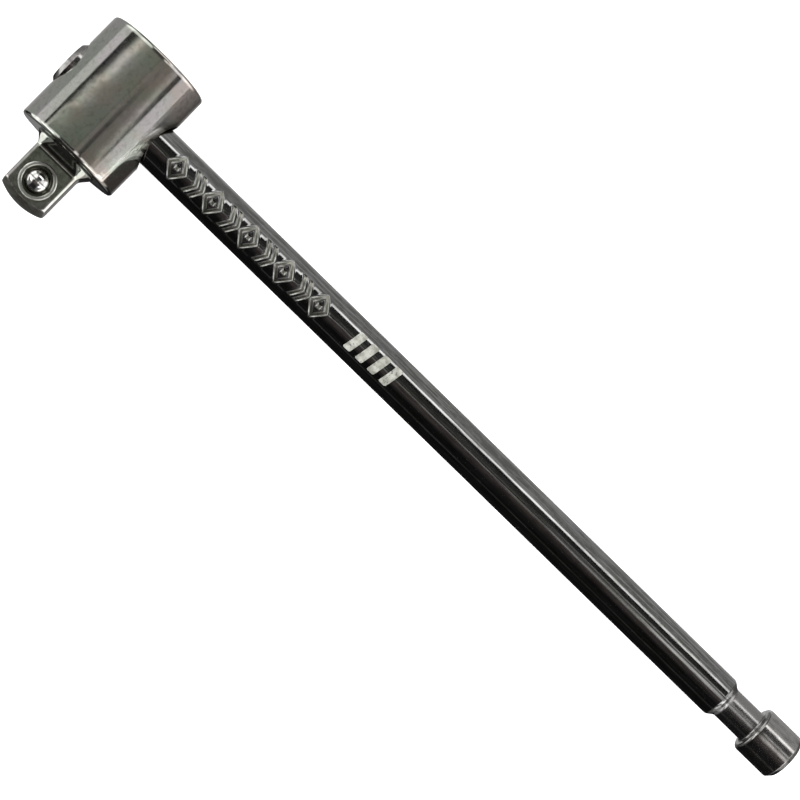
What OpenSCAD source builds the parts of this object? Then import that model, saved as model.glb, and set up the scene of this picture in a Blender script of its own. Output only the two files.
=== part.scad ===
// Sliding T-handle for 1/4 inch drive sockets, lying on its side.
// X runs along the bar, the drive square points to -Y, and Z is up.
// The origin is the centre of the drive square's end.

/* [Drive square] */
// Width across the flats
drive_w = 6.35; // [6.25:0.01:6.4]
// Diameter that the corners are turned down to
drive_round_d = 8.4; // [8.1:0.05:8.6]
// Length from the head's face to the end of the square
drive_len = 8.1; // [7.8:0.1:10]
// Radius of the dome turned on the end
drive_dome_r = 7.5; // [6:0.5:10]
// Length of the full round root between the flats and the head
drive_root_len = 0.2; // [0.1:0.05:0.6]

/* [Head] */
// Diameter of the head
head_d = 14.2; // [13.5:0.1:16]
// Height of the head along the drive's axis
head_h = 15.8; // [15.4:0.1:18]
// Height of the bar's axis above the head's lower face
bar_axis_h = 8.1; // [7.6:0.1:8.2]
// Radius of the rounding round each rim
rim_round = 0.4; // [0.2:0.05:0.8]
// Width of the countersink at each mouth of the cross bore
bore_sink = 0.5; // [0.2:0.05:0.8]
// Gap all round between the bar's collar and the cross bore
bore_gap = 0.05; // [0.03:0.01:0.1]

/* [Slide bar] */
// Length of the bar from end to end
bar_len = 119.5; // [100:0.5:200]
// Diameter of the bar between its two necks
bar_d = 5.45; // [5.2:0.05:5.6]
// Diameter of the collar on each end
collar_d = 6.35; // [6.1:0.05:6.5]
// Length of each collar
collar_len = 5.7; // [5.4:0.1:6.5]
// Diameter of the neck beside each collar
neck_d = 4.15; // [3.9:0.05:4.3]
// Length of each neck's straight part
neck_len = 4.3; // [3.8:0.1:5.5]
// Length of the ramp from each neck up to the bar
ramp_len = 1.3; // [0.8:0.1:2.5]
// Chamfer on the bar's two ends
end_chamfer = 0.6; // [0.4:0.05:0.9]
// Rounding of each collar's inner edge
collar_round = 0.45; // [0.2:0.05:0.6]

/* [Socket ball] */
// Diameter of the ball that holds a socket
socket_ball_d = 3.175; // [3:0.005:3.3]
// How far the ball stands out of the flat
socket_ball_out = 0.7; // [0.6:0.05:0.8]
// Distance from the square's end to the ball's centre
socket_ball_y = 3.4; // [3.3:0.1:4]
// Radius of the ring that is pressed round the ball's hole
stake_ring_r = 2.04; // [1.9:0.01:2.1]

/* [Detent] */
// Diameter of the ball that snaps into the bar's necks
detent_ball_d = 2.38; // [2.3:0.01:2.42]
// Major diameter of the set screw
screw_d = 3; // [2.9:0.1:3.2]
// Distance from the head's axis to the near collar when the ball has snapped in
snap_gap = 1.75; // [1.7:0.05:1.9]
// Length of the set screw
screw_len = 1.6; // [1.4:0.05:1.7]
// Width across the flats of the set screw's hexagon socket
screw_hex_w = 1.5; // [1.3:0.1:1.6]

/* [Hidden] */
$fn = 96;

slip = 0.01;        // air between two parts that rest on each other
ball_gap = 0.06;    // gap all round between a ball and its hole
over = 1;           // how far a cutter runs past the face that it cuts

// Drive square
flat_z = drive_w / 2;
drive_round_r = drive_round_d / 2;
flare_len = drive_round_r - flat_z;
flat_len = drive_len - drive_root_len - flare_len;

// Head
head_r = head_d / 2;
bar_y = drive_len + bar_axis_h;
bore_r = collar_d / 2 + bore_gap;

// Slide bar, along its own axis from its near end
bar_r = bar_d / 2;
collar_r = collar_d / 2;
neck_r = neck_d / 2;
near_end_x = -collar_len - snap_gap;
ramp_steps = 10;

// Socket ball and its hole, as depths below the flat
socket_ball_r = socket_ball_d / 2;
socket_hole_r = socket_ball_r + ball_gap;
socket_ball_depth = socket_ball_r - socket_ball_out;
socket_lip_depth = 0.25;
socket_mouth_sink = 0.12;
socket_lip_r = sqrt(pow(socket_ball_r, 2) - pow(socket_ball_depth - slip - socket_lip_depth, 2));
socket_hole_depth = 4.6;
drill_point_angle = 31;
stake_ring_w = 0.26;
stake_ring_depth = 0.09;
socket_wire_d = 0.3;
socket_coil_r = 1.1;
socket_turns = 4.5;
socket_seat = sqrt(pow(socket_ball_r + socket_wire_d / 2, 2) - pow(socket_coil_r, 2));

// Detent, as heights above the bar's axis. The ball is drawn lifted, just clear of the bar's full diameter.
detent_ball_r = detent_ball_d / 2;
detent_hole_r = detent_ball_r + ball_gap;
detent_ball_h = bar_r + detent_ball_r + slip;
screw_recess = 0.15;
screw_top_h = head_h - bar_axis_h - screw_recess;
screw_end_h = screw_top_h - screw_len;
screw_hex_depth = 0.9;
screw_edge = 0.15;
detent_wire_d = 0.25;
detent_coil_r = 1.05;
detent_turns = 3.25;
detent_seat = sqrt(pow(detent_ball_r + detent_wire_d / 2, 2) - pow(detent_coil_r, 2));

// Springs
wire_sides = 8;
steps_per_turn = 14;

// Turns a shape that stands on Z so that it lies along X or Y.
module along_x() { rotate([0, 90, 0]) children(); }
module along_y() { rotate([-90, 0, 0]) children(); }

// Half section of a round bar whose two rims are rounded.
module rounded_half_section(r, h, round_r) {
    square([r - round_r, h]);
    translate([0, round_r]) square([r, h - 2 * round_r]);
    for (y = [round_r, h - round_r]) translate([r - round_r, y]) circle(round_r);
}

// Outline of the square seen from one side: straight flats that flare out to the round root.
module drive_side_outline() {
    flare_z = flat_z + drive_len - flat_len;
    polygon([[-flat_z, 0], [flat_z, 0], [flat_z, flat_len], [flare_z, drive_len],
             [-flare_z, drive_len], [-flat_z, flat_len]]);
}

// Half section of the turned square: its corners' radius, ending in the dome.
module drive_half_section() {
    intersection() {
        translate([0, drive_dome_r]) circle(drive_dome_r);
        square(drive_round_r);
    }
    translate([0, drive_round_r]) square([drive_round_r, drive_len - drive_round_r]);
}

module drive_square() {
    reach = 2 * head_r;
    intersection() {
        linear_extrude(reach, center = true) drive_side_outline();
        rotate([0, 90, 0]) linear_extrude(reach, center = true) drive_side_outline();
        along_y() rotate_extrude() drive_half_section();
    }
}

module head_barrel() {
    translate([0, drive_len, 0]) along_y() rotate_extrude() intersection() {
        rounded_half_section(head_r, head_h, rim_round);
        square([head_r, head_h]);
    }
}

module cross_bore() {
    bore_len = 2 * (head_r + over);
    translate([0, bar_y, 0]) along_x() {
        cylinder(r = bore_r, h = bore_len, center = true);
        for (side = [0, 180]) rotate([side, 0, 0]) translate([0, 0, head_r - bore_sink])
            cylinder(r1 = bore_r, r2 = bore_r + bore_sink + over, h = bore_sink + over);
    }
}

// The hole for the detent ball and its spring, with the wider threaded end for the set screw.
module detent_hole() {
    mouth_sink = 0.2;
    thread_len = screw_recess + screw_len;
    translate([0, bar_y, 0]) along_y() {
        cylinder(r = detent_hole_r, h = head_h);
        translate([0, 0, screw_end_h]) cylinder(d = screw_d, h = thread_len + over);
        translate([0, 0, head_h - bar_axis_h - mouth_sink])
            cylinder(d1 = screw_d, d2 = screw_d + 2 * (mouth_sink + over), h = mouth_sink + over);
    }
}

// The socket ball's hole has a lip pressed in over the ball, and ends in a drill point.
module socket_ball_hole() {
    mouth_r = socket_lip_r + socket_mouth_sink;
    throat_depth = 2 * socket_lip_depth;
    point_len = socket_hole_r * tan(drill_point_angle);
    translate([0, socket_ball_y, flat_z]) rotate_extrude()
        polygon([[0, over], [mouth_r, over], [mouth_r, 0], [socket_lip_r, -socket_lip_depth / 2],
                 [socket_lip_r, -socket_lip_depth], [socket_hole_r, -throat_depth],
                 [socket_hole_r, -socket_hole_depth], [0, -socket_hole_depth - point_len]]);
}

module stake_ring() {
    groove_r = (pow(stake_ring_w, 2) + pow(stake_ring_depth, 2)) / (2 * stake_ring_depth);
    translate([0, socket_ball_y, flat_z + groove_r - stake_ring_depth]) rotate_extrude()
        translate([stake_ring_r, 0]) circle(groove_r);
}

module head() {
    color("silver") difference() {
        union() {
            head_barrel();
            drive_square();
        }
        cross_bore();
        detent_hole();
        socket_ball_hole();
        stake_ring();
    }
}

// Half section of one end of the bar, from its end face to the middle of the bar.
module bar_end_half_section() {
    ramp_start = collar_len + neck_len;
    face_r = collar_r - end_chamfer;
    ramp = [for (i = [0:ramp_steps]) let (t = i / ramp_steps)
        [neck_r + (bar_r - neck_r) * (1 - cos(180 * t)) / 2, ramp_start + ramp_len * t]];
    polygon(concat([[0, 0], [face_r, 0], [collar_r, end_chamfer], [collar_r, collar_len - collar_round],
                    [collar_r - collar_round, collar_len], [neck_r, collar_len]],
                   ramp, [[bar_r, bar_len / 2], [0, bar_len / 2]]));
    intersection() {
        translate([collar_r - collar_round, collar_len - collar_round]) circle(collar_round);
        square([collar_r, collar_len]);
    }
}

module slide_bar() {
    color("dimgray") translate([near_end_x, bar_y, 0]) along_x() rotate_extrude() {
        bar_end_half_section();
        translate([0, bar_len]) mirror([0, 1]) bar_end_half_section();
    }
}

module socket_ball() {
    color("white") translate([0, socket_ball_y, flat_z - socket_ball_depth]) sphere(socket_ball_r);
}

module detent_ball() {
    color("white") translate([0, bar_y + detent_ball_h, 0]) sphere(detent_ball_r);
}

// A coil spring that stands on Z. Its height is measured between the middles of its end wires.
module coil_spring(coil_r, wire_d, height, turns) {
    steps = round(turns * steps_per_turn);
    lean = atan(height / (2 * PI * coil_r * turns));
    points = [for (i = [0:steps], k = [0:wire_sides - 1])
        let (turn = 360 * turns * i / steps, side = 360 * k / wire_sides,
             out = coil_r + wire_d / 2 * cos(side), along = -wire_d / 2 * sin(side) * sin(lean))
        [out * cos(turn) - along * sin(turn), out * sin(turn) + along * cos(turn),
         height * i / steps + wire_d / 2 * sin(side) * cos(lean)]];
    sides = [for (i = [0:steps - 1], k = [0:wire_sides - 1])
        let (a = i * wire_sides + k, b = i * wire_sides + (k + 1) % wire_sides)
        [a, a + wire_sides, b + wire_sides, b]];
    first_cap = [for (k = [0:wire_sides - 1]) k];
    last_cap = [for (k = [wire_sides - 1:-1:0]) steps * wire_sides + k];
    polyhedron(points, concat([first_cap], sides, [last_cap]));
}

module socket_ball_spring() {
    low = socket_hole_depth - socket_wire_d / 2 - slip;
    high = socket_ball_depth + socket_seat + slip;
    color("gray") translate([0, socket_ball_y, flat_z - low])
        coil_spring(socket_coil_r, socket_wire_d, low - high, socket_turns);
}

module detent_spring() {
    low = detent_ball_h + detent_seat + slip;
    high = screw_end_h - detent_wire_d / 2 - slip;
    color("gray") translate([0, bar_y + low, 0]) along_y()
        coil_spring(detent_coil_r, detent_wire_d, high - low, detent_turns);
}

module detent_set_screw() {
    screw_r = screw_d / 2;
    hex_r = screw_hex_w / 2 / cos(30);
    color("darkslategray") translate([0, bar_y + screw_end_h, 0]) along_y() difference() {
        rotate_extrude()
            polygon([[0, 0], [screw_r - screw_edge, 0], [screw_r, screw_edge],
                     [screw_r, screw_len - screw_edge], [screw_r - screw_edge, screw_len], [0, screw_len]]);
        translate([0, 0, screw_len - screw_hex_depth]) cylinder(r = hex_r, h = screw_len, $fn = 6);
    }
}

head();
slide_bar();
socket_ball();
socket_ball_spring();
detent_ball();
detent_spring();
detent_set_screw();
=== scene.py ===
"""Looks of a sliding T-handle for 1/4 inch drive sockets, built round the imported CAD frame.

Shapes are worked out in millimetres in the frame's own axes: X runs along the bar, the drive
square points to -Y and Z is up. Meshes are scaled to metres as they are made.
"""

import math

import bmesh
import bpy
import numpy as np
from mathutils import Matrix, Vector


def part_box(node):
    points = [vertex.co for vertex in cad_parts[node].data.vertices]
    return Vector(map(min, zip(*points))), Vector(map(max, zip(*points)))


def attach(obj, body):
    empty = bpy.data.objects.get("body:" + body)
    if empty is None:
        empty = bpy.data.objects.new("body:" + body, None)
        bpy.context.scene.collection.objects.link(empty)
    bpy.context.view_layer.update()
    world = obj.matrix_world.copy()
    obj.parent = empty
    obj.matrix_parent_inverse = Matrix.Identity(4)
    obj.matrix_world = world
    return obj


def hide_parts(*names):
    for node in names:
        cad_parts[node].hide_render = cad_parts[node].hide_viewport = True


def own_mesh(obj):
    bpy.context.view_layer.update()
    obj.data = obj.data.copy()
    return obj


MM = 0.001
X_AXIS, Y_AXIS, Z_AXIS = np.eye(3)

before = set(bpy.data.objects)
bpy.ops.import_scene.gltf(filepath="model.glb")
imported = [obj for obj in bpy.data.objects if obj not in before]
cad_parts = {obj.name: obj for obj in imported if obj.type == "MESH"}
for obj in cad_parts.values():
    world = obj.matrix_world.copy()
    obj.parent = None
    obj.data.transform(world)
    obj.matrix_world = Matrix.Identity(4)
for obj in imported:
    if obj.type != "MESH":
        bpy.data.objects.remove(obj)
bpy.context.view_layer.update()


def box_mm(node):
    low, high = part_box(node)
    return low / MM, high / MM


# ---------------------------------------------------------------- sizes, mm
head_high = box_mm("head")[1]
bar_low, bar_high = box_mm("slide_bar")
screw_low, screw_high = box_mm("detent_set_screw")
socket_ball_low, socket_ball_high = box_mm("socket_ball")
detent_ball_low, detent_ball_high = box_mm("detent_ball")

HEAD_R = head_high.z
HEAD_TOP = head_high.y
BAR_Y = (bar_low.y + bar_high.y) / 2
COLLAR_R = bar_high.z
NEAR_END = bar_low.x
FAR_END = bar_high.x

# Head
DRIVE_LEN = 8.1            # from the end of the square to the barrel
FLAT_Z = 3.175             # half the width across the drive's flats
FLAT_LEN = 6.875           # straight part of the flats
DRIVE_ROUND_R = 4.2        # radius that the square's corners are turned to
DRIVE_DOME_R = 7.5         # radius of the domed end
ROOT_FILLET = 0.4          # between the round root and the barrel
RIM_ROUND = 0.4            # rounding of the barrel's rims
BORE_R = 3.225             # cross bore
BORE_FLARE = 0.28          # rounding of the cross bore's mouths
DETENT_HOLE_R = 1.25
SCREW_R = 1.5

# Slide bar
BAR_R = 2.725
NECK_R = 2.075
COLLAR_LEN = 5.7
NECK_LEN = 4.3
RAMP_LEN = 1.3
END_CHAMFER = 0.6

# Socket ball
SOCKET_BALL_R = (socket_ball_high.z - socket_ball_low.z) / 2
SOCKET_BALL_Y = (socket_ball_low.y + socket_ball_high.y) / 2
SOCKET_BALL_Z = (socket_ball_low.z + socket_ball_high.z) / 2
SOCKET_HOLE_R = 1.6475
SOCKET_HOLE_DEPTH = 4.6
SOCKET_LIP_R = 1.458
STAKE_RING_R = 2.04

# Detent ball
DETENT_BALL_R = (detent_ball_high.z - detent_ball_low.z) / 2
DETENT_BALL_Y = (detent_ball_low.y + detent_ball_high.y) / 2

# Marks on the bar: a stamped frieze, then a painted one. Both face up, turned a little to -Y.
MARK_TURN = math.radians(-7)
FRIEZE_X = (9.0, 35.0)
FRIEZE_H = 3.1
PAINT_X = (38.6, 46.4)
PAINT_H = 2.9

# After a boolean, points closer than this become one.
WELD = 0.001

# Camera, looking down on the tool with the bar across the picture from corner to corner
CAMERA_PLACE = (20.19, -14.93, 342.03)
CAMERA_TURN = (4.978, -4.683, 44.267)     # degrees round X, Y and Z
LENS = 130.60


# ---------------------------------------------------------------- meshes
def smooth_step(value):
    value = np.clip(value, 0, 1)
    return value * value * (3 - 2 * value)


def soft_min(a, b, blend):
    """The smaller of two lengths, rounded over where they meet."""
    share = np.clip(0.5 + 0.5 * (b - a) / blend, 0, 1)
    return b + (a - b) * share - blend * share * (1 - share)


def rounded(corners, steps=7):
    """A line through corners (along, out, rounding), with an arc at each corner that has one."""
    line = [np.array(corners[0][:2], float)]
    for before, corner, after in zip(corners, corners[1:], corners[2:]):
        point, radius = np.array(corner[:2], float), corner[2]
        if not radius:
            line.append(point)
            continue
        a = np.array(before[:2]) - point
        b = np.array(after[:2]) - point
        a, b = a / np.linalg.norm(a), b / np.linalg.norm(b)
        half = math.acos(np.clip(a @ b, -1, 1)) / 2
        middle = point + (a + b) / np.linalg.norm(a + b) * radius / math.sin(half)
        start = point + a * radius / math.tan(half) - middle
        sweep = (math.pi - 2 * half) * math.copysign(1, a[1] * b[0] - a[0] * b[1])
        for angle in np.linspace(0, sweep, steps + 1):
            c, s = math.cos(angle), math.sin(angle)
            line.append(middle + np.array([c * start[0] - s * start[1], s * start[0] + c * start[1]]))
    line.append(np.array(corners[-1][:2], float))
    return np.array(line)


def divided(line, longest):
    """The same line with its long stretches divided into equal steps."""
    points = [line[0]]
    for a, b in zip(line, line[1:]):
        steps = max(1, math.ceil(np.linalg.norm(b - a) / longest))
        points += [a + (b - a) * i / steps for i in range(1, steps + 1)]
    return np.array(points)


def around(along, out, angles, axis, centre=(0, 0, 0)):
    """Rings of points round an axis. along and out may change from ring to ring and with the angle."""
    side = Y_AXIS if abs(axis[0]) > 0.5 else X_AXIS
    up = np.cross(axis, side)
    along = np.broadcast_to(along, out.shape)[..., None]
    out = out[..., None]
    turn = angles[None, :, None]
    return np.array(centre, float) + along * axis + out * (np.cos(turn) * side + np.sin(turn) * up)


def turned(profile, sides, axis, centre=(0, 0, 0), start=0.0):
    """Rings of a turned shape from profile rows (along the axis, radius)."""
    profile = np.asarray(profile, float)
    angles = start + np.linspace(0, 2 * math.pi, sides, endpoint=False)
    out = np.repeat(profile[:, 1:2], sides, axis=1)
    return around(profile[:, 0:1], out, angles, axis, centre)


def new_object(name, points, faces):
    mesh = bpy.data.meshes.new(name)
    mesh.from_pydata((np.asarray(points) * MM).tolist(), [], faces)
    mesh.update()
    obj = bpy.data.objects.new(name, mesh)
    bpy.context.scene.collection.objects.link(obj)
    return obj


def loft_parts(rings, looped=False):
    """Points and faces of a closed skin over rings. Each end closes on its middle, or on the other end."""
    count, sides = rings.shape[:2]
    points = rings.reshape(-1, 3)
    here = np.arange(sides)
    after = (here + 1) % sides
    faces = []
    for i in range(count if looped else count - 1):
        a, b = i * sides, (i + 1) % count * sides
        faces += np.column_stack([a + here, a + after, b + after, b + here]).tolist()
    if not looped:
        points = np.vstack([points, rings[0].mean(axis=0), rings[-1].mean(axis=0)])
        first, last = count * sides, (count - 1) * sides
        faces += [[first, q, p] for p, q in zip(here.tolist(), after.tolist())]
        faces += [[first + 1, last + p, last + q] for p, q in zip(here.tolist(), after.tolist())]
    return points, faces


def face_outwards(obj):
    """Turns all faces over if the skin is inside out."""
    mesh = obj.data
    mesh.calc_loop_triangles()
    corners = np.array([t.vertices[:] for t in mesh.loop_triangles])
    co = np.array([v.co[:] for v in mesh.vertices])
    a, b, c = (co[corners[:, i]] for i in range(3))
    if np.einsum("ij,ij->i", a, np.cross(b, c)).sum() < 0:
        mesh.flip_normals()
    return obj


def loft(name, rings, looped=False):
    return face_outwards(new_object(name, *loft_parts(np.asarray(rings), looped)))


def join_with(obj, operation, *tools):
    """Applies booleans to obj, then removes the tools."""
    for tool in tools:
        modifier = obj.modifiers.new(tool.name, "BOOLEAN")
        modifier.operation = operation
        modifier.solver = "EXACT"
        modifier.object = tool
    apply_modifiers(obj)
    for tool in tools:
        bpy.data.objects.remove(tool)
    weld(obj, WELD)
    return obj


def weld(obj, distance):
    """Joins the points that a boolean leaves almost on top of each other, and drops slivers."""
    mesh = bmesh.new()
    mesh.from_mesh(obj.data)
    bmesh.ops.remove_doubles(mesh, verts=mesh.verts, dist=distance * MM)
    bmesh.ops.dissolve_degenerate(mesh, edges=mesh.edges, dist=distance * MM)
    mesh.to_mesh(obj.data)
    mesh.free()


def apply_modifiers(obj):
    graph = bpy.context.evaluated_depsgraph_get()
    mesh = bpy.data.meshes.new_from_object(obj.evaluated_get(graph))
    obj.modifiers.clear()
    obj.data = mesh


def finish_surface(obj, material, sharp_angle=32):
    """Smooth shading with crisp edges and flat faces that stay flat, and one material."""
    mesh = obj.data
    mesh.shade_smooth()
    mesh.set_sharp_from_angle(angle=math.radians(sharp_angle))
    modifier = obj.modifiers.new("flat faces stay flat", "WEIGHTED_NORMAL")
    modifier.keep_sharp = True
    apply_modifiers(obj)
    obj.data.name = obj.name
    obj.data.materials.clear()
    obj.data.materials.append(material)


# ---------------------------------------------------------------- node trees
class Graph:
    """Short calls that add nodes to one node tree."""

    def __init__(self, tree):
        self.tree = tree
        tree.nodes.clear()

    def add(self, kind, *inputs, **settings):
        node = self.tree.nodes.new(kind)
        for name, value in settings.items():
            setattr(node, name, value)
        for socket, value in zip(node.inputs, inputs):
            self.plug(socket, value)
        return node

    def plug(self, socket, value):
        if isinstance(value, bpy.types.NodeSocket):
            self.tree.links.new(value, socket)
        elif value is not None:
            socket.default_value = value

    def math(self, operation, *values):
        return self.add("ShaderNodeMath", *values, operation=operation).outputs[0]

    def vector(self, operation, *values):
        return self.add("ShaderNodeVectorMath", *values, operation=operation).outputs[0]

    def vector_length(self, value):
        return self.add("ShaderNodeVectorMath", value, operation="LENGTH").outputs["Value"]

    def rise(self, value, start, end, low=0.0, high=1.0):
        """low at start, high at end, and a smooth step between them."""
        node = self.add("ShaderNodeMapRange", value, start, end, low, high,
                        interpolation_type="SMOOTHSTEP")
        return node.outputs[0]

    def window(self, value, low, high, edge):
        """1 between low and high and 0 outside, with soft edges."""
        enter = self.rise(value, low - edge, low + edge)
        leave = self.rise(value, high - edge, high + edge, 1.0, 0.0)
        return self.math("MULTIPLY", enter, leave)

    def mix(self, share, a, b):
        node = self.tree.nodes.new("ShaderNodeMix")
        node.data_type = "RGBA"
        for name, value in (("Factor", share), ("A", a), ("B", b)):
            sockets = [s for s in node.inputs if s.name == name and s.enabled]
            self.plug(sockets[0], value)
        return [s for s in node.outputs if s.enabled][0]

    def place_mm(self, scale=(1, 1, 1)):
        """The point on the object in millimetres, times a scale along each axis."""
        place = self.add("ShaderNodeTexCoord").outputs["Object"]
        return self.vector("MULTIPLY", place, tuple(s / MM for s in scale))

    def noise(self, place, scale, detail=3.0, roughness=0.5):
        node = self.add("ShaderNodeTexNoise", noise_dimensions="3D")
        for name, value in (("Vector", place), ("Scale", scale), ("Detail", detail),
                            ("Roughness", roughness)):
            self.plug(node.inputs[name], value)
        return node.outputs[0]

    def bump(self, height, depth_mm, normal=None):
        node = self.add("ShaderNodeBump")
        self.plug(node.inputs["Height"], height)
        self.plug(node.inputs["Distance"], depth_mm * MM)
        self.plug(node.inputs["Strength"], 1.0)
        self.plug(node.inputs["Normal"], normal)
        return node.outputs[0]

    def surface(self, **inputs):
        shader = self.add("ShaderNodeBsdfPrincipled")
        for name, value in inputs.items():
            self.plug(shader.inputs[name.replace("_", " ")], value)
        output = self.add("ShaderNodeOutputMaterial")
        self.plug(output.inputs["Surface"], shader.outputs[0])


def new_material(name):
    material = bpy.data.materials.new(name)
    material.use_nodes = True
    return material, Graph(material.node_tree)


# ---------------------------------------------------------------- materials
def plate_tint(g, place, film):
    """Grey plate whose tint wanders between warm and green, under a thin brown film."""
    broad = g.noise(place, 0.16, 2.0)
    other = g.noise(g.vector("ADD", place, (31.0, 7.0, 3.0)), 0.22, 2.0)
    colour = g.mix(g.rise(broad, 0.42, 0.62), (0.72, 0.70, 0.69, 1), (0.65, 0.69, 0.61, 1))
    colour = g.mix(g.rise(other, 0.50, 0.70, 0.0, 0.8), colour, (0.73, 0.64, 0.58, 1))
    return g.mix(g.rise(film, 0.46, 0.70, 0.0, 0.5), colour, (0.45, 0.44, 0.40, 1))


def dull_square(g, y, facing, film, colour):
    """The square's flats are dull, and its corners are rubbed bright."""
    corner = g.math("ABSOLUTE", g.math("MULTIPLY", facing[0], facing[2]))
    below_barrel = g.rise(y, DRIVE_LEN, DRIVE_LEN - 0.5)
    square = g.math("MULTIPLY", below_barrel, g.rise(corner, 0.10, 0.35, 0.70, 0.2))
    dull = g.mix(g.rise(film, 0.36, 0.62), (0.48, 0.475, 0.42, 1), (0.27, 0.27, 0.22, 1))
    return g.mix(square, colour, dull)


def bore_painted_reflection(g, x, y, z, film, colour):
    """Painted reflection round the bore, on the bar's side: the barrel's colour is darkened where the bar
    would show dark in it.
    """
    from_bar_y = g.math("SUBTRACT", y, BAR_Y)
    from_bar = g.vector_length(g.add("ShaderNodeCombineXYZ", 0.0, from_bar_y, z).outputs[0])
    from_bar = g.math("ADD", from_bar, g.math("MULTIPLY", film, 0.5))
    # Painted reflection of the bar: dark colour on the barrel round the bore, on the bar's side.
    painted_reflection = g.math("MULTIPLY", g.rise(from_bar, BORE_R + 1.5, BORE_R + 0.6), g.rise(x, 4.6, 5.8))
    return g.mix(painted_reflection, colour, (0.15, 0.14, 0.12, 1))


def round_socket_ball(g, x, y, z, film):
    """Masks on the ball's flat: painted shade in the gap round the ball, and the punched ring outside it.
    """
    from_ball_y = g.math("SUBTRACT", y, SOCKET_BALL_Y)
    across = g.add("ShaderNodeCombineXYZ", x, from_ball_y, 0.0).outputs[0]
    away = g.math("ADD", g.vector_length(across), g.math("MULTIPLY", film, 0.12))
    on_flat = g.math("GREATER_THAN", z, FLAT_Z - 1)
    inside = g.rise(away, STAKE_RING_R - 0.16, STAKE_RING_R - 0.08, 1.0, 0.0)
    ring = g.window(away, STAKE_RING_R - 0.10, STAKE_RING_R + 0.27, 0.05)
    return g.math("MULTIPLY", on_flat, inside), g.math("MULTIPLY", on_flat, ring)


def head_chrome():
    """Bright chrome over a turned and polished forging, with a faint tint that wanders.

    The drive square is duller and its domed end is as turned. Shade is painted round the socket ball, and
    a dark reflection of the bar round the bore.
    """
    material, g = new_material("head chrome")
    place = g.place_mm()
    x, y, z = g.add("ShaderNodeSeparateXYZ", place).outputs
    true_normal = g.add("ShaderNodeNewGeometry").outputs["True Normal"]
    facing = g.add("ShaderNodeSeparateXYZ", true_normal).outputs
    film = g.noise(place, 1.5, 6.0, 0.65)
    ball_gap_shade, ring = round_socket_ball(g, x, y, z, film)
    colour = plate_tint(g, place, film)
    colour = dull_square(g, y, facing, film, colour)
    # Painted dark reflection of the bar round the bore.
    colour = bore_painted_reflection(g, x, y, z, film, colour)
    # Painted shade in the gap round the socket ball.
    colour = g.mix(ball_gap_shade, colour, (0.16, 0.16, 0.13, 1))
    colour = g.mix(ring, colour, (0.62, 0.62, 0.57, 1))
    lathe_lines = g.noise(g.place_mm((0.15, 9.0, 0.15)), 1.0, 4.0, 0.7)
    normal = g.bump(g.noise(place, 0.22, 1.0), 0.022)
    normal = g.bump(g.noise(place, 0.85, 2.0), 0.0030, normal)
    normal = g.bump(lathe_lines, 0.00022, normal)
    turned_end = g.math("MULTIPLY", g.rise(facing[1], -0.15, -0.3), g.rise(y, 2.2, 1.8))
    roughness = g.math("MULTIPLY_ADD", film, 0.09, 0.045)
    roughness = g.math("MULTIPLY_ADD", turned_end, 0.42, roughness)
    roughness = g.math("MULTIPLY_ADD", ring, 0.22, roughness)
    g.surface(Base_Color=colour, Metallic=1.0, Roughness=roughness, Normal=normal)
    return material


def bar_chrome():
    """Darker chrome polished lengthwise. Dirt and a dull finish stay in the stamped marks."""
    material, g = new_material("bar chrome")
    place = g.place_mm()
    tint = g.noise(place, 0.12, 2.0)
    colour = g.mix(g.rise(tint, 0.40, 0.65), (0.290, 0.287, 0.284, 1), (0.262, 0.266, 0.248, 1))
    streaks = g.noise(g.place_mm((0.09, 2.2, 2.2)), 1.0, 5.0, 0.7)
    film = g.noise(g.place_mm((0.5, 1.3, 1.3)), 1.0, 6.0, 0.7)
    colour = g.mix(g.rise(film, 0.40, 0.58, 0.0, 0.65), colour, (0.15, 0.15, 0.14, 1))
    colour = g.mix(g.rise(streaks, 0.48, 0.60, 0.0, 0.6), colour, (0.47, 0.47, 0.465, 1))
    stamped = g.add("ShaderNodeAttribute", attribute_name="stamped").outputs["Fac"]
    dirt = g.math("MULTIPLY", stamped, g.rise(film, 0.36, 0.60, 0.95, 0.4))
    colour = g.mix(dirt, colour, (0.44, 0.44, 0.37, 1))
    # The collars are dulled by rubbing in the head's bore.
    along = g.add("ShaderNodeSeparateXYZ", place).outputs[0]
    from_middle = g.math("ABSOLUTE", g.math("SUBTRACT", along, (NEAR_END + FAR_END) / 2))
    collar_start = (FAR_END - NEAR_END) / 2 - COLLAR_LEN
    worn = g.rise(from_middle, collar_start - 0.2, collar_start + 0.4)
    neck = g.window(from_middle, collar_start - NECK_LEN - 0.5, collar_start - 0.1, 0.3)
    colour = g.mix(neck, colour, (0.37, 0.36, 0.355, 1))
    rubbed = g.mix(g.rise(film, 0.40, 0.66), (0.47, 0.455, 0.44, 1), (0.27, 0.26, 0.25, 1))
    colour = g.mix(worn, colour, rubbed)
    grain = g.noise(place, 7.0, 3.0, 0.6)
    normal = g.bump(g.noise(g.place_mm((0.10, 0.5, 0.5)), 1.0, 2.0), 0.012)
    normal = g.bump(streaks, 0.0045, normal)
    normal = g.bump(g.math("MULTIPLY", grain, stamped), 0.006, normal)
    roughness = g.math("MULTIPLY_ADD", film, 0.11, 0.05)
    roughness = g.math("MULTIPLY_ADD", stamped, 0.26, roughness)
    roughness = g.math("MULTIPLY_ADD", worn, 0.07, roughness)
    roughness = g.math("MULTIPLY_ADD", neck, 0.12, roughness)
    g.surface(Base_Color=colour, Metallic=1.0, Roughness=roughness, Normal=normal)
    return material


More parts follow.
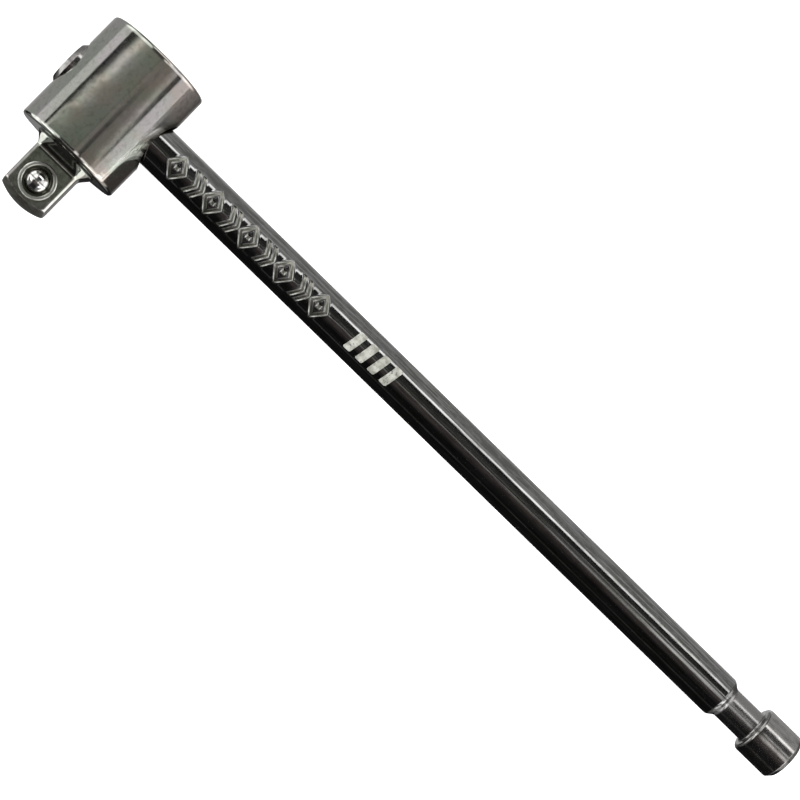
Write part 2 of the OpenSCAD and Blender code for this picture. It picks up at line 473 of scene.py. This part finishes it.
def ball_steel():
    """Hardened and ground balls, with fine scratches from use."""
    material, g = new_material("ball steel")
    place = g.place_mm()
    stain = g.noise(place, 1.3, 4.0)
    colour = g.mix(g.rise(stain, 0.50, 0.75), (0.83, 0.82, 0.80, 1), (0.66, 0.64, 0.60, 1))
    scratch = g.noise(g.place_mm((7.0, 1.0, 2.0)), 1.5, 5.0, 0.7)
    roughness = g.math("MULTIPLY_ADD", scratch, 0.12, 0.03)
    g.surface(Base_Color=colour, Metallic=1.0, Roughness=roughness, Normal=g.bump(scratch, 0.0012))
    return material


def spring_steel():
    """Drawn wire with a thin film of oil."""
    material, g = new_material("spring steel")
    place = g.place_mm()
    stain = g.noise(place, 2.4, 4.0)
    colour = g.mix(g.rise(stain, 0.42, 0.70), (0.50, 0.49, 0.47, 1), (0.34, 0.29, 0.23, 1))
    drawn = g.noise(place, 14.0, 4.0, 0.7)
    roughness = g.math("MULTIPLY_ADD", drawn, 0.20, 0.16)
    g.surface(Base_Color=colour, Metallic=1.0, Roughness=roughness, Normal=g.bump(drawn, 0.002))
    return material


def black_oxide():
    """Blackened steel, rubbed bright where the key and the thread wear it."""
    material, g = new_material("black oxide")
    place = g.place_mm()
    patch = g.noise(place, 3.0, 5.0, 0.65)
    colour = g.mix(g.rise(patch, 0.58, 0.72), (0.060, 0.060, 0.064, 1), (0.22, 0.20, 0.17, 1))
    roughness = g.math("MULTIPLY_ADD", patch, -0.22, 0.46)
    g.surface(Base_Color=colour, Metallic=1.0, Roughness=roughness, Normal=g.bump(patch, 0.004))
    return material


def mark_paint():
    """White marking paint, thin, dirty and a little chipped."""
    material, g = new_material("mark paint")
    place = g.place_mm()
    chips = g.rise(g.noise(place, 3.4, 6.0, 0.7), 0.56, 0.64)
    cover = g.noise(place, 1.1, 4.0, 0.6)
    colour = g.mix(g.rise(cover, 0.36, 0.66), (0.41, 0.41, 0.37, 1), (0.20, 0.20, 0.17, 1))
    colour = g.mix(chips, colour, (0.09, 0.09, 0.085, 1))
    fine = g.noise(place, 16.0, 4.0, 0.6)
    roughness = g.math("MULTIPLY_ADD", fine, 0.20, 0.42)
    g.surface(Base_Color=colour, Roughness=roughness, Normal=g.bump(fine, 0.006))
    return material


def floor_white():
    """Plain white studio paper, lit through from below so that it keeps almost no shadow."""
    material, g = new_material("floor white")
    paper = g.noise(g.place_mm(), 0.02, 2.0)
    colour = g.mix(paper, (0.93, 0.93, 0.93, 1), (0.95, 0.95, 0.95, 1))
    g.surface(Base_Color=colour, Roughness=0.9, Emission_Color=colour, Emission_Strength=0.5)
    return material


# ---------------------------------------------------------------- head
def barrel():
    profile = rounded([(DRIVE_LEN, 2.0, 0), (DRIVE_LEN, HEAD_R, RIM_ROUND),
                       (HEAD_TOP, HEAD_R, RIM_ROUND), (HEAD_TOP, 2.0, 0)])
    return loft("head_body", turned(divided(profile, 0.3), 256, Y_AXIS))


def drive_square():
    """The square with its turned corners, flared root and domed end, as rings round its axis."""
    tilt = np.linspace(0.05, math.asin(DRIVE_ROUND_R / DRIVE_DOME_R), 26)
    dome = np.column_stack([DRIVE_DOME_R * (1 - np.cos(tilt)), DRIVE_DOME_R * np.sin(tilt), 0 * tilt])
    dome[-1, 2] = 0.2
    root_r = DRIVE_ROUND_R + 0.35
    profile = rounded([*dome, (FLAT_LEN - 0.1, DRIVE_ROUND_R, 1.2), (DRIVE_LEN, root_r, ROOT_FILLET),
                       (DRIVE_LEN, root_r + ROOT_FILLET + 0.05, 0), (DRIVE_LEN + 0.8, root_r, 0)])
    profile = divided(profile, 0.2)
    land = math.acos(FLAT_Z / DRIVE_ROUND_R)
    side = divided(np.array([[-land, 0], [land, 0]]), 0.06)[:, 0]
    edge = math.pi / 4 - land
    quarter = np.concatenate([side[2:-2], land + edge * np.linspace(-1.2, 3.2, 20)])
    angles = np.concatenate([quarter + i * math.pi / 2 for i in range(4)])
    along, turned_r = profile[:, 0:1], profile[:, 1:2]
    flat = FLAT_Z + np.logaddexp(0, (along - FLAT_LEN) / 0.12) * 0.12
    reach = np.maximum(abs(np.cos(angles)), abs(np.sin(angles)))[None, :]
    return loft("drive_square", around(along, soft_min(flat / reach, turned_r, 0.10), angles, Y_AXIS))


def cross_bore():
    """The bore with both mouths flared, following the barrel's curve."""
    angles = np.linspace(0, 2 * math.pi, 128, endpoint=False)
    sweep = np.radians(np.linspace(0, 68, 9))[:, None]
    # The flare goes on past the barrel's surface, wider by this much and this far outside it.
    wider, past = 0.25, 0.30
    out = BORE_R + BORE_FLARE * (1 - np.cos(sweep)) + 0 * angles
    out = np.vstack([out, out[-1:] + wider])
    # Depth of each ring under the barrel's surface. The last two rings are clear outside it.
    depth = np.vstack([BORE_FLARE * (1 - np.sin(sweep)), [[-past]]])
    surface = np.sqrt(HEAD_R ** 2 - (out * np.sin(angles)) ** 2)
    mouth = np.vstack([surface - depth, np.full((1, len(angles)), HEAD_R + 1)])
    out = np.vstack([out, out[-1:]])
    along = np.vstack([-mouth[::-1], mouth])
    return loft("cross_bore", around(along, np.vstack([out[::-1], out]), angles, X_AXIS,
                                     (0, BAR_Y, 0)))


def detent_hole():
    """The detent spring's hole and the wider one of its set screw, with a 45 degree lead-in."""
    step, lead_in, above = screw_low.y, 0.22, 0.5
    profile = rounded([(BAR_Y, DETENT_HOLE_R, 0), (step, DETENT_HOLE_R, 0), (step, SCREW_R, 0),
                       (HEAD_TOP - lead_in, SCREW_R, 0.1),
                       (HEAD_TOP + above, SCREW_R + (lead_in + above), 0)])
    # Turned a little, so that none of its edges meets an edge of the barrel's.
    return loft("detent_hole", turned(divided(profile, 0.6), 90, Y_AXIS, start=0.011))


def socket_ball_hole():
    """The hole, its pressed-in lip and its drill point, going down from the flat."""
    lip = 0.25
    point_len = SOCKET_HOLE_R * math.tan(math.radians(31))
    bottom = FLAT_Z - SOCKET_HOLE_DEPTH
    profile = rounded([(FLAT_Z + 0.5, SOCKET_LIP_R + 0.62, 0), (FLAT_Z - lip / 2, SOCKET_LIP_R, 0.05),
                       (FLAT_Z - lip, SOCKET_LIP_R, 0.05), (FLAT_Z - 2 * lip, SOCKET_HOLE_R, 0.05),
                       (bottom, SOCKET_HOLE_R, 0.05), (bottom - point_len + 0.05, 0.05, 0)], 3)
    return loft("ball_hole", turned(profile, 96, Z_AXIS, (0, SOCKET_BALL_Y, 0)))


def stake_ring():
    """The shallow ring left by the punch that presses the lip in over the ball."""
    groove_w, groove_depth = 0.26, 0.09
    groove_r = (groove_w ** 2 + groove_depth ** 2) / (2 * groove_depth)
    angles = np.linspace(0, 2 * math.pi, 40, endpoint=False)
    section = np.column_stack([FLAT_Z + groove_r - groove_depth + groove_r * np.sin(angles),
                               STAKE_RING_R + groove_r * np.cos(angles)])
    return loft("stake_ring", turned(section, 120, Z_AXIS, (0, SOCKET_BALL_Y, 0)), looped=True)


def build_head():
    head = join_with(barrel(), "UNION", drive_square())
    join_with(head, "DIFFERENCE", cross_bore(), detent_hole(), socket_ball_hole(), stake_ring())
    finish_surface(head, head_chrome())
    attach(head, "head")
    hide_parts("head")


# ---------------------------------------------------------------- slide bar
def frieze_distance(x, arc):
    """Signed distance to the stamped lines: diamonds that alternate with double chevrons."""
    motifs, stroke = 9, 0.40
    pitch = (FRIEZE_X[1] - FRIEZE_X[0]) / motifs
    half_h = FRIEZE_H / 2
    nearest = np.full(np.broadcast(x, arc).shape, np.inf)
    for i in range(motifs):
        u = x - FRIEZE_X[0] - pitch * (i + 0.5)
        if i % 2 == 0:
            half_w = 0.40 * pitch
            edge_scale = half_w * half_h / math.hypot(half_w, half_h)
            outline = (abs(u) / half_w + abs(arc) / half_h - 1) * edge_scale
            lines = [abs(outline) - stroke / 2, np.maximum(abs(u), abs(arc)) - 0.25]
        else:
            lean = 0.55
            lines = [np.maximum(abs(u + lean * abs(arc) - tip) / math.hypot(1, lean) - stroke / 2,
                                abs(arc) - half_h)
                     for tip in (0.05 * pitch, 0.38 * pitch)]
        for line in lines:
            nearest = np.minimum(nearest, line)
    return nearest


def bar_rings():
    """Rings along the bar, fine where the frieze is stamped, and the share of stamping at each point."""
    end = rounded([(0, 0.6, 0), (0, COLLAR_R - END_CHAMFER, 0.12), (END_CHAMFER, COLLAR_R, 0.15),
                   (COLLAR_LEN, COLLAR_R, 0.52), (COLLAR_LEN, NECK_R, 0.32),
                   (COLLAR_LEN + NECK_LEN, NECK_R, 0)], 6)
    end = divided(end, 0.6)
    share = np.linspace(0, 1, 15)[1:]
    ramp = np.column_stack([COLLAR_LEN + NECK_LEN + RAMP_LEN * share,
                            NECK_R + (BAR_R - NECK_R) * (1 - np.cos(math.pi * share)) / 2])
    end = np.vstack([end, ramp])
    near = end + (NEAR_END, 0)
    far = end[::-1] * (-1, 1) + (FAR_END, 0)
    margin, cell = 0.3, 0.06
    marked = np.arange(FRIEZE_X[0] - margin, FRIEZE_X[1] + margin, cell)
    plain = [np.linspace(near[-1, 0], marked[0], 6)[1:-1], marked,
             np.linspace(marked[-1], far[0, 0], 60)[1:-1]]
    middle = np.concatenate(plain)
    profile = np.vstack([near, np.column_stack([middle, np.full(len(middle), BAR_R)]), far])

    half_zone = math.radians(42)
    fine = np.linspace(-half_zone, half_zone, 68)
    coarse = np.linspace(half_zone, 2 * math.pi - half_zone, 54)[1:-1]
    turn = np.concatenate([fine, coarse])     # from the middle of the marks, towards +Y
    angles = math.pi / 2 - turn - MARK_TURN   # the rings start from +Y and turn to +Z
    wrapped = np.where(turn > math.pi, turn - 2 * math.pi, turn)
    distance = frieze_distance(profile[:, 0:1], BAR_R * wrapped[None, :])
    depth, wall, lip = 0.09, 0.11, 0.025
    stamped = smooth_step((wall - distance) / (2 * wall))
    raised = lip * np.exp(-((distance - 0.17) / 0.09) ** 2)
    out = profile[:, 1:2] - depth * stamped + raised
    return around(profile[:, 0:1], out, angles, X_AXIS, (0, BAR_Y, 0)), stamped


def build_slide_bar():
    rings, stamped = bar_rings()
    bar = loft("slide_bar_body", rings)
    values = np.concatenate([stamped.ravel(), [0, 0]]).astype(np.float32)
    bar.data.attributes.new("stamped", "FLOAT", "POINT").data.foreach_set("value", values)
    finish_surface(bar, bar_chrome(), 50)
    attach(bar, "slide_bar")
    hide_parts("slide_bar")


def paint_block(middle_x, width):
    """One slanted block of paint, as a thin closed skin that follows the bar."""
    lean, corner, film = 0.18, 0.22, 0.022
    half_w, half_h = width / 2, PAINT_H / 2
    outline = []
    for x_side, y_side, start in ((1, 1, 0), (-1, 1, 90), (-1, -1, 180), (1, -1, 270)):
        for angle in np.radians(np.linspace(start, start + 90, 7)):
            outline.append([x_side * (half_w - corner) + corner * math.cos(angle),
                            y_side * (half_h - corner) + corner * math.sin(angle)])
    outline = np.array(outline)
    rings = []
    for share, height in ((0.05, -0.02), (1, -0.02), (1, 0.7 * film), (0.98, film), (0.9, film),
                          (0.6, film), (0.3, film), (0.05, film)):
        flat = divided(np.vstack([outline, outline[:1]]), 0.2)[:-1] * share
        x = middle_x + flat[:, 0] + lean * flat[:, 1]
        angle = flat[:, 1] / BAR_R + MARK_TURN
        out = BAR_R + height
        rings.append(np.column_stack([x, BAR_Y + out * np.sin(angle), out * np.cos(angle)]))
    return loft_parts(np.array(rings))


def build_paint_mark():
    blocks = 4
    pitch = (PAINT_X[1] - PAINT_X[0]) / blocks
    points, faces = [], []
    for i in range(blocks):
        block_points, block_faces = paint_block(PAINT_X[0] + pitch * (i + 0.5), 0.56 * pitch)
        first = sum(len(p) for p in points)
        points.append(block_points)
        faces += [[first + corner for corner in face] for face in block_faces]
    mark = face_outwards(new_object("bar_paint_mark", np.vstack(points), faces))
    finish_surface(mark, mark_paint(), 60)
    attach(mark, "slide_bar")


# ---------------------------------------------------------------- balls, springs and screw
def build_ball(name, node, body, centre, radius):
    tilt = np.linspace(0, math.pi, 49)[1:-1]
    profile = np.column_stack([-radius * np.cos(tilt), radius * np.sin(tilt)])
    rings = turned(profile, 96, Z_AXIS, centre)
    points, faces = loft_parts(rings)
    # The last two points close the ends, so they are moved out to the poles.
    points[-2:] = np.array(centre) + [[0, 0, -radius], [0, 0, radius]]
    ball = face_outwards(new_object(name, points, faces))
    finish_surface(ball, ball_steel(), 60)
    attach(ball, body)
    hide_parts(node)


def coil(name, base, axis, coil_r, wire_d, height, turns):
    """A compression spring whose end turns close up against their neighbours."""
    steps_per_turn, sides, least_pitch = 28, 14, 0.12
    steps = round(turns * steps_per_turn)
    share = np.arange(steps + 1) / steps_per_turn
    # The pitch, in any unit, rises from its least over the first turn and falls over the last.
    from_end = np.clip(np.minimum(share, turns - share), 0, 1)
    pitch = smooth_step(from_end) + least_pitch
    rise = np.concatenate([[0], np.cumsum((pitch[1:] + pitch[:-1]) / 2)])
    rise *= height / rise[-1]
    slope = np.gradient(rise) * steps_per_turn / (2 * math.pi * coil_r)
    lean = np.arctan(slope)[:, None]
    turn = 2 * math.pi * share[:, None]
    section = np.linspace(0, 2 * math.pi, sides, endpoint=False)[None, :]
    out = coil_r + wire_d / 2 * np.cos(section)
    along = -wire_d / 2 * np.sin(section) * np.sin(lean)
    up = rise[:, None] + wire_d / 2 * np.sin(section) * np.cos(lean)
    first = (out * np.cos(turn) - along * np.sin(turn))[..., None] * X_AXIS
    second = (out * np.sin(turn) + along * np.cos(turn))[..., None] * np.cross(axis, X_AXIS)
    return loft(name, np.array(base, float) + first + second + up[..., None] * axis)


def build_springs():
    wire_d, coil_r, slip = 0.3, 1.1, 0.01
    low = FLAT_Z - SOCKET_HOLE_DEPTH + wire_d / 2 + slip
    high = SOCKET_BALL_Z - math.sqrt((SOCKET_BALL_R + wire_d / 2) ** 2 - coil_r ** 2) - slip
    spring = coil("socket_spring_wire", (0, SOCKET_BALL_Y, low), Z_AXIS, coil_r, wire_d,
                  height=high - low, turns=4.5)
    finish_surface(spring, spring_steel(), 60)
    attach(spring, "head")
    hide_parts("socket_ball_spring")
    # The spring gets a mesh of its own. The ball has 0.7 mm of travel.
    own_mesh(spring)

    wire_d, coil_r = 0.25, 1.05
    low = DETENT_BALL_Y + math.sqrt((DETENT_BALL_R + wire_d / 2) ** 2 - coil_r ** 2) + slip
    high = screw_low.y - wire_d / 2 - slip
    spring = coil("detent_spring_wire", (0, low, 0), Y_AXIS, coil_r, wire_d,
                  height=high - low, turns=3.25)
    finish_surface(spring, spring_steel(), 60)
    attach(spring, "head")
    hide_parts("detent_spring")


def build_set_screw():
    """A short set screw with a coarse thread, chamfered ends and a hexagon socket."""
    pitch, crest_r, thread_h, hex_w, hex_depth = 0.5, SCREW_R - 0.02, 0.27, 1.5, 0.9
    low, high = screw_low.y, screw_high.y
    sides = 72
    angles = np.linspace(0, 2 * math.pi, sides, endpoint=False)
    along = np.linspace(low, high, 65)[:, None]
    phase = (along / pitch + angles / (2 * math.pi)) % 1
    # Straight flanks between flat roots and crests
    flank = np.clip(abs(2 * phase - 1) * 1.35 - 0.12, 0, 1)
    thread = crest_r - thread_h * (1 - flank)
    chamfer = crest_r - 0.28 + np.minimum(along - low, high - along)
    screw = loft("set_screw_body", around(along, np.minimum(thread, chamfer), angles, Y_AXIS))
    corners = np.radians(np.arange(0, 360, 60) + 30)
    hex_r = hex_w / 2 / math.cos(math.radians(30))
    rows = [(high + 1, hex_r), (high - hex_depth, hex_r), (high - hex_depth - 0.3, 0.1)]
    out = np.array([[r] * 6 for _, r in rows])
    key = loft("hex_key", around(np.array([[y] for y, _ in rows]), out, corners, Y_AXIS))
    lead_in = loft("lead_in", turned([(high + 0.5, hex_r + 0.6), (high - 0.12, hex_r - 0.02),
                                      (high - 0.16, 0.3)], sides, Y_AXIS))
    join_with(screw, "DIFFERENCE", key, lead_in)
    finish_surface(screw, black_oxide(), 30)
    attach(screw, "head")
    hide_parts("detent_set_screw")


# ---------------------------------------------------------------- studio
WHITE, COOL, WARM = (1.0, 1.0, 1.0), (1.02, 0.99, 1.01), (1.03, 1.0, 0.95)
OLIVE, BROWN, RED = (0.93, 1.0, 0.87), (1.07, 0.96, 0.87), (1.15, 0.95, 0.92)


def make_floor():
    """The floor, tilted so that the tool lies on the barrel and on the lower edge of its far collar."""
    reach = FAR_END - END_CHAMFER
    tilt = math.asin(HEAD_R / math.hypot(reach, COLLAR_R)) - math.atan2(COLLAR_R, reach)
    up = Vector((-math.sin(tilt), 0, math.cos(tilt)))
    half = 3000
    along = Vector((math.cos(tilt), 0, math.sin(tilt)))
    across = Vector((0, 1, 0))
    signs = ((-1, -1), (1, -1), (1, 1), (-1, 1))
    corners = [-HEAD_R * up + half * (a * along + b * across) for a, b in signs]
    floor = new_object("floor", [tuple(c) for c in corners], [(0, 1, 2, 3)])
    floor.data.materials.append(floor_white())
    floor.visible_glossy = False


def make_camera():
    data = bpy.data.cameras.new("camera")
    data.lens, data.sensor_width, data.sensor_fit = LENS, 36, "HORIZONTAL"
    data.clip_start, data.clip_end = 0.01, 20
    camera = bpy.data.objects.new("camera", data)
    bpy.context.scene.collection.objects.link(camera)
    turn = Matrix.Identity(4)
    for degrees, axis in zip(CAMERA_TURN, "XYZ"):
        turn = turn @ Matrix.Rotation(math.radians(degrees), 4, axis)
    camera.matrix_world = Matrix.Translation(Vector(CAMERA_PLACE) * MM) @ turn
    bpy.context.scene.camera = camera


class Sky(Graph):
    """What only reflections see: a dark room with soft boxes and dark flags far round the tool.

    The barrel shows what lies round Y, and the bar what lies round X, so each box is a range of
    the angle round one of them, from +Z, and a range of the direction's part along it.
    """

    def __init__(self, tree):
        super().__init__(tree)
        direction = self.add("ShaderNodeTexCoord").outputs["Generated"]
        self.x, self.y, self.z = self.add("ShaderNodeSeparateXYZ", direction).outputs
        self.round_y = self.math("DEGREES", self.math("ARCTAN2", self.x, self.z))
        self.round_x = self.math("DEGREES", self.math("ARCTAN2", self.y, self.z))
        self.along_y = self.window(self.y, -0.02, 0.75, 0.06)
        # From 0 for what the barrel's lower part shows to 1 for what its top shows
        self.upper = self.rise(self.y, 0.066, 0.108)
        self.colour = (0.014, 0.014, 0.014)

    def leaning(self, low, high):
        """An edge that goes from one angle at the barrel's lower part to another at its top."""
        return self.math("MULTIPLY_ADD", self.upper, high - low, low)

    def light(self, level, tint, *masks):
        """Adds a box of one level and tint, where all its masks meet."""
        mask = masks[0]
        for other in masks[1:]:
            mask = self.math("MULTIPLY", mask, other)
        self.colour = self.vector("MULTIPLY_ADD", mask, tuple(level * part for part in tint), self.colour)


def light_from_above(sky):
    """Overhead, with a dark flag in it for the barrel's lower part."""
    y, round_x, round_y = sky.y, sky.round_x, sky.round_y
    overhead = sky.window(y, 0.030, 0.135, 0.012)
    flag = sky.math("MULTIPLY", sky.window(round_y, 16.0, 24.0, 1.5), sky.rise(y, 0.100, 0.090))
    sky.light(0.140, OLIVE, sky.window(round_y, -58, 8, 6), overhead)
    sky.light(0.115, BROWN, sky.rise(round_y, 5, 11),
              sky.rise(round_y, sky.leaning(58, 52), sky.leaning(50, 46)),
              overhead, sky.math("SUBTRACT", 1.0, flag))
    sky.light(0.035, BROWN, sky.window(round_y, -50, 50, 9), overhead, sky.upper)
    sky.light(0.05, WHITE, sky.window(round_y, -40, 40, 6), sky.window(round_x, 8, 31, 2))
    sky.light(0.42, WHITE, sky.window(round_y, -50, 50, 6), sky.window(round_x, -8.0, -3.5, 1.0))
    # Over the bar's far end. The barrel looks between these two.
    far = sky.math("MULTIPLY", sky.rise(round_y, 8.5, 13), sky.rise(round_y, 18, 23, 1.0, 0.0))
    sky.light(0.90, WHITE, far, sky.window(round_x, -13, 2.2, 1.4))
    sky.light(0.90, WHITE, far, sky.window(round_x, 9.2, 14.5, 1))


def light_barrel_left(sky):
    """Round Y, seen in the barrel: light, a dark wedge and light on its left."""
    y, round_y, leaning = sky.y, sky.round_y, sky.leaning
    sky.light(0.28, WHITE, sky.window(round_y, -179, -99, 2), sky.along_y)
    sky.light(0.55, COOL, sky.rise(round_y, -101, -97),
              sky.rise(round_y, leaning(-72, -74), leaning(-75, -77)), sky.along_y)
    sky.light(0.60, WARM, sky.rise(round_y, leaning(-70, -60.5), leaning(-66, -44)),
              sky.rise(round_y, leaning(-57, -30), leaning(-66, -44)),
              sky.rise(y, 0.088, 0.109, 1.0, 0.55), sky.along_y)
    sky.light(0.10, WARM, sky.rise(round_y, -60, -46), sky.rise(round_y, -8, -45), sky.upper, sky.along_y)


def light_barrel_right(sky):
    """The same on its right, where a bright box ends low down."""
    y, round_y, leaning = sky.y, sky.round_y, sky.leaning
    top = sky.rise(y, 0.094, 0.106)
    sky.light(0.38, WARM, sky.rise(round_y, leaning(50, 32), leaning(56, 47)),
              sky.rise(round_y, leaning(62, 51), leaning(59, 48.5)),
              sky.rise(y, 0.100, 0.113, 1.0, 0.35), sky.along_y)
    sky.light(0.55, COOL, sky.rise(round_y, leaning(58, 59), leaning(64, 63)),
              sky.rise(round_y, leaning(92, 91), leaning(89, 86)), sky.along_y)
    sky.light(0.20, WHITE, sky.rise(round_y, 84, 88), sky.rise(round_y, 172, 90), top, sky.along_y)
    sky.light(0.03, RED, sky.rise(round_y, 90, 95), sky.along_y)
    low_edge = sky.math("MULTIPLY_ADD", sky.rise(y, 0.058, 0.068), -12.0, round_y)
    sky.light(1.30, WHITE, sky.rise(low_edge, 76, 79), sky.rise(round_y, 97, 99.5, 1.0, 0.0),
              sky.rise(y, 0.082, 0.089, 1.0, 0.0), sky.rise(y, -0.8, -0.6))
    sky.light(0.18, WHITE, sky.rise(sky.z, -0.80, -0.97), sky.rise(sky.x, -0.045, -0.065))


def light_sides_and_ends(sky):
    """High and far out on both sides, and beyond the bar's two ends."""
    y, z, round_y = sky.y, sky.z, sky.round_y
    side = sky.math("ABSOLUTE", sky.x)
    # For the socket ball and the rims
    sky.light(0.90, WHITE, sky.rise(side, 0.33, 0.40), sky.window(y, 0.165, 0.62, 0.03),
              sky.rise(z, -0.3, 0.0))
    sky.light(0.90, WHITE, sky.rise(side, 0.42, 0.50), sky.window(y, -0.22, 0.020, 0.015),
              sky.rise(z, 0.1, 0.2))
    # Far out, where the view from above finds almost nothing
    outer = sky.rise(side, 0.36, 0.52)
    sky.light(0.20, WHITE, outer, sky.rise(y, -0.30, -0.42))
    sky.light(0.22, WHITE, outer, sky.rise(y, 0.64, 0.74))
    # Beyond the ends
    level = sky.window(y, -0.6, 0.015, 0.02)
    sky.light(1.30, WHITE, sky.window(round_y, -116, -84, 3), level)
    sky.light(0.45, WHITE, sky.window(round_y, 98, 118, 4), level)


def light_bar(sky):
    """Round X, seen in the bar, and low on both sides, seen in its necks."""
    round_x, round_y = sky.round_x, sky.round_y
    along_x = sky.window(sky.x, -0.30, 0.42, 0.05)
    sky.light(2.30, WHITE, sky.window(round_x, 40, 51, 1.2), along_x)
    sky.light(0.42, WHITE, sky.rise(round_x, 50, 53), sky.rise(round_x, 150, 178, 1.0, 0.4), along_x)
    sky.light(0.10, RED, sky.rise(round_x, -50, -8), sky.rise(round_x, -9, -7, 1.0, 0.0), along_x)
    sky.light(0.10, WHITE, sky.window(round_x, -84, -80, 1), along_x)
    for low, high in ((-84, -42), (42, 84)):
        sky.light(1.80, WHITE, sky.window(round_y, low, high, 4), sky.window(round_x, -46, -14, 4))


def make_studio():
    """A world with the sky for reflections and even white light for all else."""
    world = bpy.data.worlds.new("studio")
    bpy.context.scene.world = world
    world.use_nodes = True
    world.cycles.sampling_method = "NONE"
    sky = Sky(world.node_tree)
    light_from_above(sky)
    light_barrel_left(sky)
    light_barrel_right(sky)
    light_sides_and_ends(sky)
    light_bar(sky)
    glossy = sky.add("ShaderNodeBackground", sky.colour, 1.0)
    path = sky.add("ShaderNodeLightPath").outputs
    # The camera sees plain white, and other rays find more light than that.
    soft_level = sky.math("SUBTRACT", 1.7, sky.math("MULTIPLY", path["Is Camera Ray"], 0.7))
    soft = sky.add("ShaderNodeBackground", (1, 1, 1, 1), soft_level)
    mixed = sky.add("ShaderNodeMixShader", path["Is Glossy Ray"], soft.outputs[0], glossy.outputs[0])
    output = sky.add("ShaderNodeOutputWorld")
    sky.plug(output.inputs["Surface"], mixed.outputs[0])
    bpy.context.scene.view_settings.view_transform = "Standard"


make_camera()
make_floor()
make_studio()
build_head()
build_slide_bar()
build_paint_mark()
build_ball("socket_ball_body", "socket_ball", "socket_ball",
           (0, SOCKET_BALL_Y, SOCKET_BALL_Z), SOCKET_BALL_R)
build_ball("detent_ball_body", "detent_ball", "detent_ball",
           (0, DETENT_BALL_Y, 0), DETENT_BALL_R)
build_springs()
build_set_screw()
